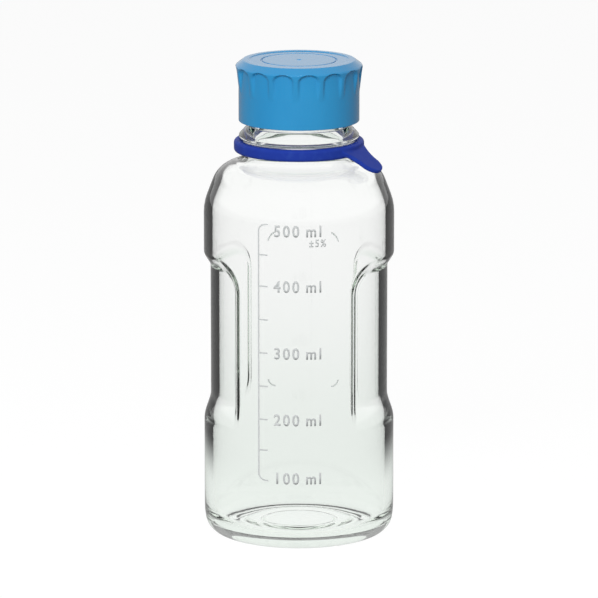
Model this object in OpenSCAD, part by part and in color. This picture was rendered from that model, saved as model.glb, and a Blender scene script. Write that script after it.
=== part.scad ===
// Laboratory reagent bottle with a screw cap, a pouring ring and a neck tag.
// The origin is the centre of the foot, +Z is up and -Y is the front, where the scale is printed.

/* [Glass body] */
// Outer diameter of the body
body_d = 78; // [70:0.5:90]
// Height of the straight side, from the foot to the start of the shoulder
body_h = 134; // [130:1:160]
// Thickness of the glass
wall = 3.5; // [2.5:0.1:4.5]
// Thickness of the glass at the rim of the base
base_t = 2.8; // [2:0.1:5]
// Radius of the large curve that draws the body in above the heel
heel_sweep_r = 30; // [20:1:40]
// Angle that the large curve turns through
heel_sweep_angle = 10.5; // [6:0.5:14]
// Radius of the heel itself
heel_r = 7; // [5:0.5:10]
// Width of the flat ring that the bottle stands on
foot_w = 4; // [2:0.5:6]
// Rise of the pushed-up centre of the base
punt_h = 1.6; // [0.8:0.1:2.5]

/* [Side grips] */
// Depth of the grip recesses
grip_depth = 2.7; // [1:0.1:3.5]
// Angle from the front to the near edge of a grip
grip_edge_angle = 37.3; // [32:0.1:50]
// Height of the lower end of the grips
grip_z = 47.5; // [40:0.5:55]
// Height of the recess from its lower end to its upper end
grip_h = 70.5; // [60:0.5:76]
// Length of the gentle run-out at the lower end
grip_run_low = 11.5; // [6:0.5:14]
// Length of the curved lip at the upper end
grip_run_high = 8; // [4:0.5:10]
// Radius of the upper corners of the recess
grip_corner_r = 11; // [6:0.5:14]

/* [Shoulder and neck] */
// Radius of the curve that starts the shoulder
shoulder_start_r = 20.5; // [16:0.5:24]
// Slope of the straight part of the shoulder, from upright
shoulder_slope = 21; // [15:1:26]
// Length of the straight part of the shoulder
shoulder_slope_l = 6.6; // [4:0.1:9]
// Radius of the rounded corner of the shoulder
shoulder_r = 11.3; // [9:0.1:13]
// Slope of the shoulder where it meets the neck, from upright
shoulder_top_slope = 80; // [70:1:84]
// Fillet between the shoulder and the neck
neck_fillet_r = 2; // [1:0.1:2.5]
// Outer diameter of the neck under the bead
neck_d = 46.2; // [45:0.1:47]
// Height of the plain neck that carries the tag
neck_h = 7.6; // [6.5:0.1:12]
// Outer diameter of the bead that keeps the tag on
bead_d = 49; // [48:0.1:50]
// Rise of the bead's underside, from the neck out to its edge
bead_rise = 0.7; // [0.4:0.1:1.4]
// Height of the upright edge of the bead
bead_h = 1; // [0.8:0.1:2]
// Height of the cone from the bead in to the thread
cone_h = 4; // [3:0.1:5]
// Height of the threaded finish, from the cone to the mouth
finish_h = 20.4; // [20:0.1:24]
// Diameter of the mouth
mouth_d = 35; // [30:0.5:36]
// Height of the smooth lip above the thread
lip_h = 4.4; // [4:0.1:6]
// Outer diameter of the smooth lip
lip_d = 40.4; // [39.5:0.1:41]

/* [Screw thread] */
// Outer diameter of the thread on the glass
thread_d = 44.8; // [44.4:0.1:45]
// Diameter of the neck under the thread
thread_root_d = 41.8; // [41.4:0.1:42]
// Rise of the thread in one turn
thread_pitch = 4; // [3.6:0.1:4.4]
// Turns of thread, the same on the glass and in the cap
thread_turns = 1.5; // [1:0.25:2]
// Height of the first turn above the cone
thread_lift = 4.6; // [4:0.1:6]
// Width of a ridge at its foot
ridge_w = 1.9; // [1.4:0.1:2.2]
// Width of a ridge at its crest
ridge_crest_w = 0.8; // [0.5:0.1:1]
// Depth of thread that the cap reaches over the glass thread
thread_grip = 0.8; // [0.6:0.05:1]
// Radial gap between the glass thread and the wall of the cap
thread_clear = 0.4; // [0.3:0.05:0.5]

/* [Pouring ring] */
// Thickness of the pouring ring
pour_t = 0.7; // [0.5:0.05:0.8]
// Gap between the pouring ring and the glass
pour_clear = 0.1; // [0.05:0.01:0.15]
// Reach of the ring down the outside of the lip
pour_skirt_h = 3.6; // [2.5:0.1:4.5]
// Reach of the ring down inside the mouth
pour_plug_h = 5; // [3:0.1:8]
// Height of the pouring edge above its flange
pour_edge_h = 0.9; // [0.5:0.1:1.5]

/* [Screw cap] */
// Height of the cap
cap_h = 25.2; // [23:0.1:27]
// Thickness of the cap's wall at the plain band
cap_wall = 1.85; // [1.4:0.05:2.4]
// Height of the plain band
cap_band_h = 11.6; // [8:0.1:14]
// Height of the ribs over the band, at the rim
rib_h = 1.35; // [0.8:0.05:2]
// Width of the sloping edge between the rim and the flat top
cap_bevel_w = 3.15; // [2:0.05:4]
// Height of the sloping edge
cap_bevel_h = 2.4; // [1.5:0.1:3]
// Thickness of the top of the cap
cap_roof_t = 2.2; // [1.8:0.1:3]
// Number of flutes round the cap
flute_count = 15; // [12:1:20]
// Radius of each flute
flute_r = 10; // [8:0.5:14]
// Height of the arch that ends each flute
flute_arch_h = 3; // [2:0.5:6]
// Distance from the rim down to the top of each arch
flute_top_gap = 0.3; // [0.2:0.1:2]
// Angle from the front to the first rib
rib_phase = 0; // [-12:0.5:12]
// Diameter of the shallow groove in the top
top_groove_d = 30.6; // [26:0.1:34]
// Width of the groove in the top
top_groove_w = 0.8; // [0.5:0.1:1.5]
// Depth of the groove in the top
top_groove_depth = 0.4; // [0.2:0.1:0.6]

/* [Cap seal] */
// Thickness of the sealing disc
seal_t = 2; // [1.5:0.1:3]
// Gap above, below and round the sealing disc
seal_clear = 0.3; // [0.2:0.05:0.4]

/* [Neck tag] */
// Gap between the tag and the neck
tag_clear = 0.3; // [0.2:0.05:0.4]
// Width of the tag's ring, from inside to outside
tag_ring_w = 3.2; // [2:0.1:4]
// Height of the tag's ring
tag_ring_h = 4.9; // [3.5:0.1:5]
// Gap between the tag and the bead above it
tag_drop = 0.3; // [0.3:0.1:0.6]
// Rounding of the ring's edges
tag_edge_r = 1.2; // [0.5:0.1:1.5]
// Angle of the tongue, from the front towards the right
tag_angle = 64; // [0:1:90]
// Slope of the tongue, down from level
tag_slope = 32; // [10:1:34]
// Width of the tongue where it leaves the ring
tag_root_w = 15; // [12:0.5:18]
// Diameter of the tongue's round end
tag_end_d = 11.5; // [8:0.5:12]
// Distance from the axis to the centre of the round end
tag_reach = 32.6; // [30:0.1:33]
// Thickness of the tongue
tag_tongue_t = 1.8; // [1.2:0.1:2.4]

/* [Prints] */
// Thickness of the printed enamel
print_t = 0.1; // [0.05:0.01:0.2]
// Width of a printed line
line_w = 0.6; // [0.4:0.05:1]
// Angle from the front to the upright line of the scale
scale_angle = -21.7; // [-26:0.1:-15]
// Length of a tick
tick_l = 4; // [2:0.5:6]
// Radius of the turns from the upright line into the ticks at its ends
scale_corner_r = 3.2; // [1:0.1:5]
// Straight length of the end ticks after their turns
end_tick_l = 1; // [0.5:0.1:3]
// Volume between two ticks, in millilitres
tick_volume = 50; // [25:25:100]
// Volume at the lowest tick, in millilitres
first_volume = 100; // [50:50:200]
// Volume at the highest tick, in millilitres
last_volume = 500; // [400:50:500]
// Width of the writing field on the back
field_w = 32; // [20:1:40]
// Height of the writing field
field_h = 66; // [40:1:70]
// Height of the lower edge of the writing field above the foot
field_z = 52; // [46:1:60]
// Radius of the writing field's corners
field_corner_r = 4; // [2:0.5:8]
// Reach of each corner mark along the sides of the field
field_mark_l = 3.5; // [2:0.5:8]

/* [Hidden] */
$fn = 96;
BITE = 0.4;          // how far a thread ridge sinks into the wall that carries it
OVER = 1;            // how far a cutter runs past what it cuts
LIP = 0.15;          // how far outside a round wall a ramp or flute starts, to cross the wall cleanly
ARC_STEPS = 8;       // straight pieces in a drawn curve
RIDGE_STEP = 10;     // degrees between two sections of a thread ridge
RIDGE_FADE = 30;     // degrees over which a ridge rises at its ends
ML = 1000;           // cubic millimetres in a millilitre

body_r = body_d / 2;
neck_r = neck_d / 2;
bead_r = bead_d / 2;
root_r = thread_root_d / 2;
crest_r = thread_d / 2;
mouth_r = mouth_d / 2;
lip_r = lip_d / 2;

// Points of an arc about [x, z], from one angle to another
function arc(x, z, r, from, to) =
    [for (i = [0:ARC_STEPS]) let (a = from + (to - from) * i / ARC_STEPS) [x + r * cos(a), z + r * sin(a)]];

// A smooth rise from 0 to 1
function ease(t) = t * t * (3 - 2 * t);

// Heel: the sweep draws in above the foot and runs into the heel's own curve
heel_x = body_r - heel_sweep_r * (1 - cos(heel_sweep_angle)) - heel_r * cos(heel_sweep_angle);
sweep_z = heel_r + (heel_sweep_r - heel_r) * sin(heel_sweep_angle);
foot_r = heel_x - foot_w;
punt_r = foot_r - punt_h;

// Shoulder: start curve, straight slope, rounded corner, slope into the neck
slope_x = body_r - shoulder_start_r * (1 - cos(shoulder_slope));
slope_z = body_h + shoulder_start_r * sin(shoulder_slope);
corner_x = slope_x - shoulder_slope_l * sin(shoulder_slope) - shoulder_r * cos(shoulder_slope);
corner_z = slope_z + shoulder_slope_l * cos(shoulder_slope) - shoulder_r * sin(shoulder_slope);
fillet_x = neck_r + neck_fillet_r;
meet_x = fillet_x - neck_fillet_r * cos(shoulder_top_slope);
meet_z = corner_z + shoulder_r * sin(shoulder_top_slope)
    + (corner_x + shoulder_r * cos(shoulder_top_slope) - meet_x) / tan(shoulder_top_slope);
fillet_z = meet_z + neck_fillet_r * sin(shoulder_top_slope);

// Levels up the neck
collar_z = fillet_z + neck_h;
bead_z = collar_z + bead_rise;
cone_z = bead_z + bead_h;
finish_z = cone_z + cone_h;
mouth_z = finish_z + finish_h;
thread_z = finish_z + thread_lift;

// Levels of the closure
pour_top_z = mouth_z + pour_clear + pour_t + pour_edge_h;
seal_z = pour_top_z + seal_clear;
roof_z = seal_z + seal_t + seal_clear;
cap_top_z = roof_z + cap_roof_t;
cap_z = cap_top_z - cap_h;
cap_bore_r = crest_r + thread_clear;
cap_crest_r = crest_r - thread_grip;
cap_band_r = cap_bore_r + cap_wall;
cap_rim_r = cap_band_r + rib_h;
pour_r = lip_r + pour_clear + pour_t;
seal_seat_r = pour_r + thread_clear;
seal_r = seal_seat_r - seal_clear;

// Grips, laid out on the straight side of the body
grip_edge_x = body_r * sin(grip_edge_angle);
grip_top_z = grip_z + grip_h;

// Inside of the glass
inner_r = body_r - wall;
inner_heel_r = inner_r - foot_r;

// Outline of the outside of the glass, without grips and thread
module outer_outline() {
    polygon(concat(
        [[0, punt_h], [punt_r, punt_h], [foot_r, 0]],
        arc(heel_x, heel_r, heel_r, -90, -heel_sweep_angle),
        arc(body_r - heel_sweep_r, sweep_z, heel_sweep_r, -heel_sweep_angle, 0),
        arc(body_r - shoulder_start_r, body_h, shoulder_start_r, 0, shoulder_slope),
        arc(corner_x, corner_z, shoulder_r, shoulder_slope, shoulder_top_slope),
        arc(fillet_x, fillet_z, neck_fillet_r, 180 + shoulder_top_slope, 180),
        [[neck_r, collar_z], [bead_r, bead_z], [bead_r, cone_z], [root_r, finish_z]],
        [[root_r, mouth_z - lip_h - root_r + lip_r], [lip_r, mouth_z - lip_h]],
        arc(lip_r - OVER, mouth_z - OVER, OVER, 0, 90),
        [[0, mouth_z]]
    ));
}

// Outline of the cavity, one wall inside the glass
module inner_outline() {
    polygon(concat(
        [[0, base_t + punt_h], [punt_r, base_t + punt_h]],
        arc(inner_r - inner_heel_r, base_t + inner_heel_r, inner_heel_r, -90, 0),
        arc(body_r - shoulder_start_r, body_h, shoulder_start_r - wall, 0, shoulder_slope),
        arc(corner_x, corner_z, shoulder_r - wall, shoulder_slope, shoulder_top_slope),
        arc(fillet_x, fillet_z, neck_fillet_r + wall, 180 + shoulder_top_slope, 180),
        [[neck_r - wall, bead_z], [mouth_r, finish_z], [mouth_r, mouth_z + OVER], [0, mouth_z + OVER]]
    ));
}

// Side view of one grip recess, grown outwards by a margin
module grip_outline(margin) {
    x = grip_edge_x - margin;
    z = grip_z - margin;
    h = grip_h + 2 * margin;
    r = grip_corner_r + margin;
    translate([x + r, z]) square([body_r, h]);
    translate([x, z]) square([body_r, h - r]);
    translate([x + r, z + h - r]) circle(r);
}

// The ring that a grip recess takes away, drawn one depth of glass further in
module grip_ring(inset) {
    r = body_r - inset + LIP;
    drop = grip_depth + LIP;
    low = [for (i = [0:ARC_STEPS]) let (t = i / ARC_STEPS) [r - drop * ease(t), grip_z + grip_run_low * t]];
    high = [for (i = [0:ARC_STEPS]) let (t = i / ARC_STEPS)
        [r - drop * ease(1 - t), grip_top_z - grip_run_high * (1 - t)]];
    rotate_extrude() polygon(concat([[r + OVER, grip_z]], low, high, [[r + OVER, grip_top_z]]));
}

// Both grip recesses, as solids to take away
module grips(inset) {
    for (side = [0, 1])
        mirror([side, 0, 0])
            intersection() {
                translate([0, body_d, 0])
                    rotate([90, 0, 0])
                        linear_extrude(2 * body_d) grip_outline(inset);
                grip_ring(inset);
            }
}

// A screw ridge from radius foot to radius crest, its first turn centred on height z
module ridge(foot, crest, z) {
    steps = round(thread_turns * 360 / RIDGE_STEP);
    half = ridge_w / 2;
    crest_half = ridge_crest_w / 2;
    section = [[foot, -half], [crest, -crest_half], [crest, crest_half], [foot, half]];
    points = [for (i = [0:steps]) let (
            a = i * RIDGE_STEP,
            rise = min(1, 0.15 + a / RIDGE_FADE, 0.15 + (steps * RIDGE_STEP - a) / RIDGE_FADE)
        )
        for (p = section) let (r = foot + (p[0] - foot) * rise)
            [r * cos(a), r * sin(a), z + thread_pitch * a / 360 + p[1] * (0.5 + rise / 2)]];
    sides = [for (i = [0:steps - 1]) for (k = [0:3]) let (
            n = (k + 1) % 4,
            p = [i * 4 + k, i * 4 + n, i * 4 + n + 4, i * 4 + k + 4]
        )
        crest > foot ? p : [p[3], p[2], p[1], p[0]]];
    first = [0, 1, 2, 3];
    last = [for (k = [3:-1:0]) steps * 4 + k];
    ends = crest > foot ? [[for (k = [0:3]) 3 - k], [for (k = [3:-1:0]) last[k]]] : [first, last];
    polyhedron(points, concat(sides, ends), convexity = 10);
}

module bottle() {
    color([0.86, 0.93, 0.9, 0.35])
        union() {
            difference() {
                rotate_extrude() outer_outline();
                grips(0);
                difference() {
                    rotate_extrude() inner_outline();
                    grips(wall);
                }
            }
            ridge(root_r - BITE, crest_r, thread_z);
        }
}

module pouring_ring() {
    in_r = mouth_r - pour_clear;
    out_r = lip_r + pour_clear;
    under = mouth_z + pour_clear;
    color([0.3, 0.6, 0.8])
        rotate_extrude() polygon([
            [in_r - pour_t, under - pour_plug_h],
            [in_r, under - pour_plug_h],
            [in_r, under],
            [out_r, under],
            [out_r, under - pour_skirt_h],
            [pour_r, under - pour_skirt_h],
            [pour_r, pour_top_z],
            [pour_r - pour_t / 2, pour_top_z],
            [pour_r - pour_t, under + pour_t],
            [in_r - pour_t, under + pour_t]
        ]);
}

// One flute as a solid to take away: its upper end narrows until it leaves the rib, which draws an arch
module flute(h) {
    arch_z = h - flute_arch_h;
    taper = (rib_h - LIP) / flute_arch_h;
    rotate_extrude() polygon([
        [0, 0],
        [flute_r, 0],
        [flute_r, arch_z],
        [flute_r - taper * (flute_arch_h + OVER), h + OVER],
        [0, h + OVER]
    ]);
}

module cap_outside() {
    rib_foot_z = cap_z + cap_band_h;
    rim_z = cap_top_z - cap_bevel_h;
    difference() {
        rotate_extrude() polygon([
            [0, cap_z],
            [cap_band_r, cap_z],
            [cap_band_r, rib_foot_z],
            [cap_rim_r, rim_z],
            [cap_rim_r - cap_bevel_w, cap_top_z],
            [0, cap_top_z]
        ]);
        for (i = [0:flute_count - 1])
            rotate([0, 0, rib_phase - 90 + (i + 0.5) * 360 / flute_count])
                translate([cap_band_r + LIP + flute_r, 0, rib_foot_z])
                    flute(rim_z - rib_foot_z - flute_top_gap);
        rotate_extrude()
            translate([(top_groove_d - top_groove_w) / 2, cap_top_z - top_groove_depth])
                square([top_groove_w, top_groove_depth + OVER]);
    }
}

module screw_cap() {
    step_z = mouth_z - pour_skirt_h - OVER;
    color([0.2, 0.58, 0.78])
        union() {
            difference() {
                cap_outside();
                rotate_extrude() polygon([
                    [0, cap_z - OVER],
                    [cap_bore_r, cap_z - OVER],
                    [cap_bore_r, step_z - cap_bore_r + seal_seat_r],
                    [seal_seat_r, step_z],
                    [seal_seat_r, roof_z],
                    [0, roof_z]
                ]);
            }
            ridge(cap_bore_r + BITE, cap_crest_r, thread_z - thread_pitch / 2);
        }
}

module cap_seal() {
    color([0.92, 0.92, 0.9])
        translate([0, 0, seal_z]) cylinder(r = seal_r, h = seal_t);
}

// Rounded section of the tag's ring
module tag_section() {
    r = tag_edge_r;
    translate([r, 0]) square([tag_ring_w - 2 * r, tag_ring_h]);
    translate([0, r]) square([tag_ring_w, tag_ring_h - 2 * r]);
    for (x = [r, tag_ring_w - r], z = [r, tag_ring_h - r])
        translate([x, z]) circle(r);
}

module neck_tag() {
    in_r = neck_r + tag_clear;
    low_z = collar_z - tag_drop - tag_ring_h;
    root_x = in_r + tag_ring_w / 2;
    root_z = low_z + tag_ring_h / 2;
    end_x = (tag_reach - root_x) / cos(tag_slope);
    color([0.16, 0.24, 0.58])
        union() {
            translate([0, 0, low_z])
                rotate_extrude() translate([in_r, 0]) tag_section();
            rotate([0, 0, tag_angle - 90])
                translate([root_x, 0, root_z])
                    rotate([0, tag_slope, 0])
                        translate([0, 0, -tag_tongue_t / 2])
                            linear_extrude(tag_tongue_t) {
                                polygon([
                                    [0, -tag_root_w / 2],
                                    [end_x, -tag_end_d / 2],
                                    [end_x, tag_end_d / 2],
                                    [0, tag_root_w / 2]
                                ]);
                                translate([end_x, 0]) circle(d = tag_end_d);
                            }
        }
}

// Height of the liquid at a volume: plain below and above the grips, narrower between them
plain_area = PI * pow(inner_r, 2);
grip_sweep = (180 - 2 * grip_edge_angle) * 2;
grip_area = plain_area - PI * (pow(inner_r, 2) - pow(inner_r - grip_depth, 2)) * grip_sweep / 360;
heel_loss = 2 * (1 - PI / 4) * pow(inner_heel_r, 2) / inner_r;
empty_z = base_t + heel_loss + punt_h * pow(punt_r / inner_r, 2);
grip_low = grip_z + grip_run_low / 2;
grip_high = grip_top_z - grip_run_high / 2;
low_ml = plain_area * (grip_low - empty_z) / ML;
high_ml = low_ml + grip_area * (grip_high - grip_low) / ML;
function level(ml) =
    ml < low_ml ? empty_z + ml * ML / plain_area :
    ml < high_ml ? grip_low + (ml - low_ml) * ML / grip_area :
    grip_high + (ml - high_ml) * ML / plain_area;

// Volumes that the body carries a tick for: their level stands below the straight slope of the shoulder
ticks = [for (ml = [first_volume:tick_volume:last_volume]) if (level(ml) < slope_z) ml];

// Wraps a flat drawing onto the outside of the glass, which it follows into the shoulder
module printed() {
    difference() {
        intersection() {
            rotate([90, 0, 0]) linear_extrude(body_d) children();
            rotate_extrude() translate([print_t, 0]) outer_outline();
        }
        rotate_extrude() outer_outline();
    }
}

// A rectangle with round corners, centred across and standing on its lower edge
module round_rect(w, h, r) {
    translate([-w / 2 + r, 0]) square([w - 2 * r, h]);
    translate([-w / 2, r]) square([w, h - 2 * r]);
    for (x = [-w / 2 + r, w / 2 - r], z = [r, h - r])
        translate([x, z]) circle(r);
}

// A printed line along the inside of such a rectangle
module round_line(w, h, r) {
    difference() {
        round_rect(w, h, r);
        translate([0, line_w]) round_rect(w - 2 * line_w, h - 2 * line_w, r - line_w);
    }
}

// An upright line whose ends turn into the highest and lowest ticks, with the other ticks between
module graduation_scale() {
    x = body_r * sin(scale_angle) - line_w / 2;
    low = level(first_volume) - line_w / 2;
    h = level(max(ticks)) + line_w / 2 - low;
    reach = scale_corner_r + end_tick_l;
    color([0.78, 0.8, 0.8])
        printed() {
            translate([x + reach, low])
                difference() {
                    round_line(2 * reach, h, scale_corner_r);
                    translate([0, -OVER]) square([reach + 2 * OVER, h + 2 * OVER]);
                }
            for (ml = ticks)
                if (ml > first_volume && ml < max(ticks))
                    translate([x, level(ml) - line_w / 2]) square([tick_l, line_w]);
        }
}

// The four corner marks that bound the place for writing
module writing_field() {
    color([0.85, 0.87, 0.87])
        rotate([0, 0, 180])
            printed()
                translate([0, field_z])
                    difference() {
                        round_line(field_w, field_h, field_corner_r);
                        translate([field_mark_l - field_w / 2, -OVER])
                            square([field_w - 2 * field_mark_l, field_h + 2 * OVER]);
                        translate([-field_w / 2 - OVER, field_mark_l])
                            square([field_w + 2 * OVER, field_h - 2 * field_mark_l]);
                    }
}

bottle();
pouring_ring();
screw_cap();
cap_seal();
neck_tag();
graduation_scale();
writing_field();
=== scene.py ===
"""Visual model of a laboratory reagent bottle with a screw cap, a pouring ring and a neck tag.

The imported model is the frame: every piece made here stands for one of its nodes and rides on the same body.
Lengths are in metres, +Z is up and -Y is the front of the bottle, where the scale is printed.
"""

import logging
import math
from dataclasses import dataclass, field
from enum import Enum
from typing import Any

import bmesh
import bpy
from mathutils import Matrix, Vector

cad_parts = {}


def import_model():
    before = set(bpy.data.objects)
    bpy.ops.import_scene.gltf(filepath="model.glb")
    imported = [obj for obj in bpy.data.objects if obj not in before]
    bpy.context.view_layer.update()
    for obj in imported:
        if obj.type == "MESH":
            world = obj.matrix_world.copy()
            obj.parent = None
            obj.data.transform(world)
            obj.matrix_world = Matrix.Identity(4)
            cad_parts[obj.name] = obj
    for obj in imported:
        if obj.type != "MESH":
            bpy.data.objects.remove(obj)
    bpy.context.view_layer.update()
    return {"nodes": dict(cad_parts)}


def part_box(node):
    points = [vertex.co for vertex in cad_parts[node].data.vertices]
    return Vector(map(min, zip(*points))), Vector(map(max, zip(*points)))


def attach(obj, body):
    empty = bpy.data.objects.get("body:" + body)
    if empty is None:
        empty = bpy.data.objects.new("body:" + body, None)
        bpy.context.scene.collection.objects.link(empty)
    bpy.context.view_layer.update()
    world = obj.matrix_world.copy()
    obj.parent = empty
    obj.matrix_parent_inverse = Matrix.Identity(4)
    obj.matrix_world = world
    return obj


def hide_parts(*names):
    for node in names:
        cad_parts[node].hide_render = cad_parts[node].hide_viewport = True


LOG = logging.getLogger("reagent_bottle")
MM = 0.001
TURN = 2 * math.pi
CUBIC_MM_PER_ML = 1000.0
STRAIGHT = 1e-4  # a corner that turns by less than this, in radians, is left as it is
TINY = 1e-6
WELD = 0.002 * MM
WHITE = (1.0, 1.0, 1.0)
BLACK = (0.0, 0.0, 0.0)
TAG_DROP = 0.3  # mm that the tag hangs under the bead
LOOK_AT_Z = 0.0972

Point = tuple[float, float]
Colour = tuple[float, float, float]


# ----------------------------------------------------------------------------------------------------
# Curves and meshes
# ----------------------------------------------------------------------------------------------------


def ease(t: float) -> float:
    """A smooth rise from 0 to 1, level at both ends.

    Args:
        t: How far along the rise, cut to 0..1.

    Returns:
        The height of the rise.
    """
    t = min(1.0, max(0.0, t))
    return t * t * (3 - 2 * t)


@dataclass(frozen=True)
class Corner:
    """One corner of an outline, with the radius of its rounding and the pitch of the points after it."""

    x: float
    z: float
    radius: float = 0.0
    pitch: float = 1.0


def rounded(corners: list[Corner], arc_angle: float = math.radians(7.5)) -> list[Point]:
    """Points of an open outline whose corners are rounded.

    Args:
        corners: The corners, in millimetres.
        arc_angle: The largest angle between two points of a rounding.

    Returns:
        The points in metres, from the first corner to the last.
    """
    path: list[Vector] = [Vector((corners[0].x, corners[0].z))]
    for before, here, after in zip(corners, corners[1:], corners[2:]):
        tip = Vector((here.x, here.z))
        into = (tip - Vector((before.x, before.z))).normalized()
        out = (Vector((after.x, after.z)) - tip).normalized()
        turn = into.angle_signed(out, 0.0) if here.radius else 0.0
        if abs(turn) < STRAIGHT:
            fill(path, tip, before.pitch)
            continue
        reach = here.radius * math.tan(abs(turn) / 2)
        fill(path, tip - into * reach, before.pitch)
        steps = max(2, math.ceil(abs(turn) / arc_angle))
        side = Vector((-into.y, into.x)) * math.copysign(1, -turn)
        centre = tip - into * reach + side * here.radius
        for i in range(1, steps + 1):
            path.append(centre + Matrix.Rotation(-turn * i / steps, 2) @ (-side * here.radius))
    fill(path, Vector((corners[-1].x, corners[-1].z)), corners[-2].pitch)
    return [(p.x * MM, p.y * MM) for p in path]


def fill(path: list[Vector], end: Vector, pitch: float) -> None:
    """Carries an outline straight on to a point, with points no further apart than a pitch.

    Args:
        path: The outline, which grows.
        end: Where the straight stretch ends.
        pitch: The largest gap between two points.
    """
    start = path[-1]
    steps = math.ceil((end - start).length / pitch - TINY)
    path.extend(start.lerp(end, i / steps) for i in range(1, steps + 1))


def inset(corner: Vector, slope_in: float, slope_out: float, depth: float) -> Vector:
    """A corner of a wall's inside, one thickness in from the corner of its outside.

    Args:
        corner: The outer corner.
        slope_in: Slope of the wall below the corner, in radians from upright.
        slope_out: Slope of the wall above it.
        depth: The wall's thickness.

    Returns:
        The inner corner.
    """
    below = Vector((math.cos(slope_in), math.sin(slope_in)))
    above = Vector((math.cos(slope_out), math.sin(slope_out)))
    return corner - (below + above) * depth / (1 + below.dot(above))


def turned(outline: list[Point], steps: int, sectors: int = 15) -> bmesh.types.BMesh:
    """Spins an outline once round the axis: one sector as a surface, and then copies of that sector.

    Args:
        outline: Points (radius, height) of a section that is closed or ends on the axis.
        steps: How many stretches the turn has, a multiple of the sectors.
        sectors: How many copies of the spun sector make the turn.

    Returns:
        The closed mesh.
    """
    about = {"cent": (0, 0, 0), "axis": (0, 0, 1)}
    bm = bmesh.new()
    verts = [bm.verts.new((x, 0, z)) for x, z in outline]
    edges = [bm.edges.new(pair) for pair in zip(verts, verts[1:])]
    bmesh.ops.spin(bm, geom=verts + edges, angle=TURN / sectors, steps=steps // sectors, **about)
    sector = bm.verts[:] + bm.edges[:] + bm.faces[:]
    bmesh.ops.spin(bm, geom=sector, angle=TURN, steps=sectors, use_duplicate=True, **about)
    bmesh.ops.remove_doubles(bm, verts=bm.verts, dist=WELD)
    bmesh.ops.recalc_face_normals(bm, faces=bm.faces)
    return bm


def into_object(name: str, bm: bmesh.types.BMesh, material: bpy.types.Material) -> bpy.types.Object:
    """Turns a finished bmesh into a smooth-shaded object at the origin.

    Args:
        name: The piece's name.
        bm: The mesh, which is freed.
        material: The piece's finish.

    Returns:
        The new object.
    """
    mesh = bpy.data.meshes.new(name)
    bm.to_mesh(mesh)
    bm.free()
    mesh.shade_smooth()
    mesh.materials.append(material)
    piece = bpy.data.objects.new(name, mesh)
    bpy.context.scene.collection.objects.link(piece)
    return piece


def evaluated(piece: bpy.types.Object, name: str, material: bpy.types.Material) -> bpy.types.Object:
    """A plain mesh piece with the shape that an object has under its modifiers or curve settings.

    Args:
        piece: The object to bake, which is removed.
        name: The new piece's name.
        material: Its finish.

    Returns:
        The new object.
    """
    bpy.context.view_layer.update()
    shape = piece.evaluated_get(bpy.context.evaluated_depsgraph_get())
    bm = bmesh.new()
    baked = bpy.data.meshes.new_from_object(shape)
    bm.from_mesh(baked)
    bpy.data.objects.remove(piece)
    bpy.data.meshes.remove(baked)
    return into_object(name, bm, material)


def azimuth(x: float, y: float) -> float:
    """Angle round the axis in radians, from the front towards the right."""
    return math.atan2(x, -y)


def thread_height(angle: float, z: float, start_z: float, ridge: "ThreadRidge") -> float:
    """How far a screw ridge stands out at a place on its wall.

    Args:
        angle: Angle round the axis from +X, in radians, in 0..TURN.
        z: Height of the place, in millimetres.
        start_z: Height of the ridge where it starts, in millimetres.
        ridge: The ridge's sizes.

    Returns:
        The height of the ridge there, from 0 to 1.
    """
    best = 0.0
    for lap in range(math.ceil(ridge.turns)):
        along = angle / TURN + lap
        if along > ridge.turns:
            continue
        to_end = min(along, ridge.turns - along) + ridge.tip
        rise = min(1.0, to_end / ridge.fade)
        off = abs(z - start_z - ridge.pitch * along)
        flank = (ridge.foot_w / 2 - off) / ((ridge.foot_w - ridge.crest_w) / 2)
        best = max(best, ease(flank) * rise)
    return best


@dataclass(frozen=True)
class ThreadRidge:
    """Sizes that the thread on the glass and the thread in the cap share.

    Lengths are in millimetres; the ridge's turns, the fade at its ends and its first tip are in turns.
    """

    pitch: float = 4.0
    turns: float = 1.5
    foot_w: float = 1.9
    crest_w: float = 0.8
    fade: float = 0.08
    tip: float = 0.01
    lift: float = 4.6


# ----------------------------------------------------------------------------------------------------
# Shader graphs
# ----------------------------------------------------------------------------------------------------


class Value:
    """A number in a shader graph, which Python's arithmetic works on by adding Math nodes."""

    def __init__(self, graph: "Graph", socket: bpy.types.NodeSocket) -> None:
        """Wraps an output socket of a graph's node."""
        self.graph = graph
        self.socket = socket

    def _math(self, operation: str, *values: "Value | float") -> "Value":
        """The result of one Math node on values in this graph."""
        node = self.graph.node("ShaderNodeMath", {"operation": operation}, dict(enumerate(values)))
        return Value(self.graph, node.outputs[0])

    def __add__(self, other: "Value | float") -> "Value":
        """This value plus another."""
        return self._math("ADD", self, other)

    __radd__ = __add__

    def __sub__(self, other: "Value | float") -> "Value":
        """This value less another."""
        return self._math("SUBTRACT", self, other)

    def __rsub__(self, other: float) -> "Value":
        """A number less this value."""
        return self._math("SUBTRACT", other, self)

    def __mul__(self, other: "Value | float") -> "Value":
        """This value times another."""
        return self._math("MULTIPLY", self, other)

    __rmul__ = __mul__

    def __gt__(self, other: "Value | float") -> "Value":
        """1 where this value is the greater, else 0."""
        return self._math("GREATER_THAN", self, other)

    def at_most(self, other: "Value | float") -> "Value":
        """The lesser of this value and another."""
        return self._math("MINIMUM", self, other)

    def between(self, low: float, high: float) -> "Value":
        """A smooth rise from 0 at low to 1 at high.

        Args:
            low: Where the rise starts.
            high: Where it ends, which may lie below the start.

        Returns:
            The height of the rise.
        """
        ends = {0: self, 1: low, 2: high, 3: 0.0, 4: 1.0}
        node = self.graph.node("ShaderNodeMapRange", {"interpolation_type": "SMOOTHSTEP"}, ends)
        return Value(self.graph, node.outputs[0])


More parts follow.
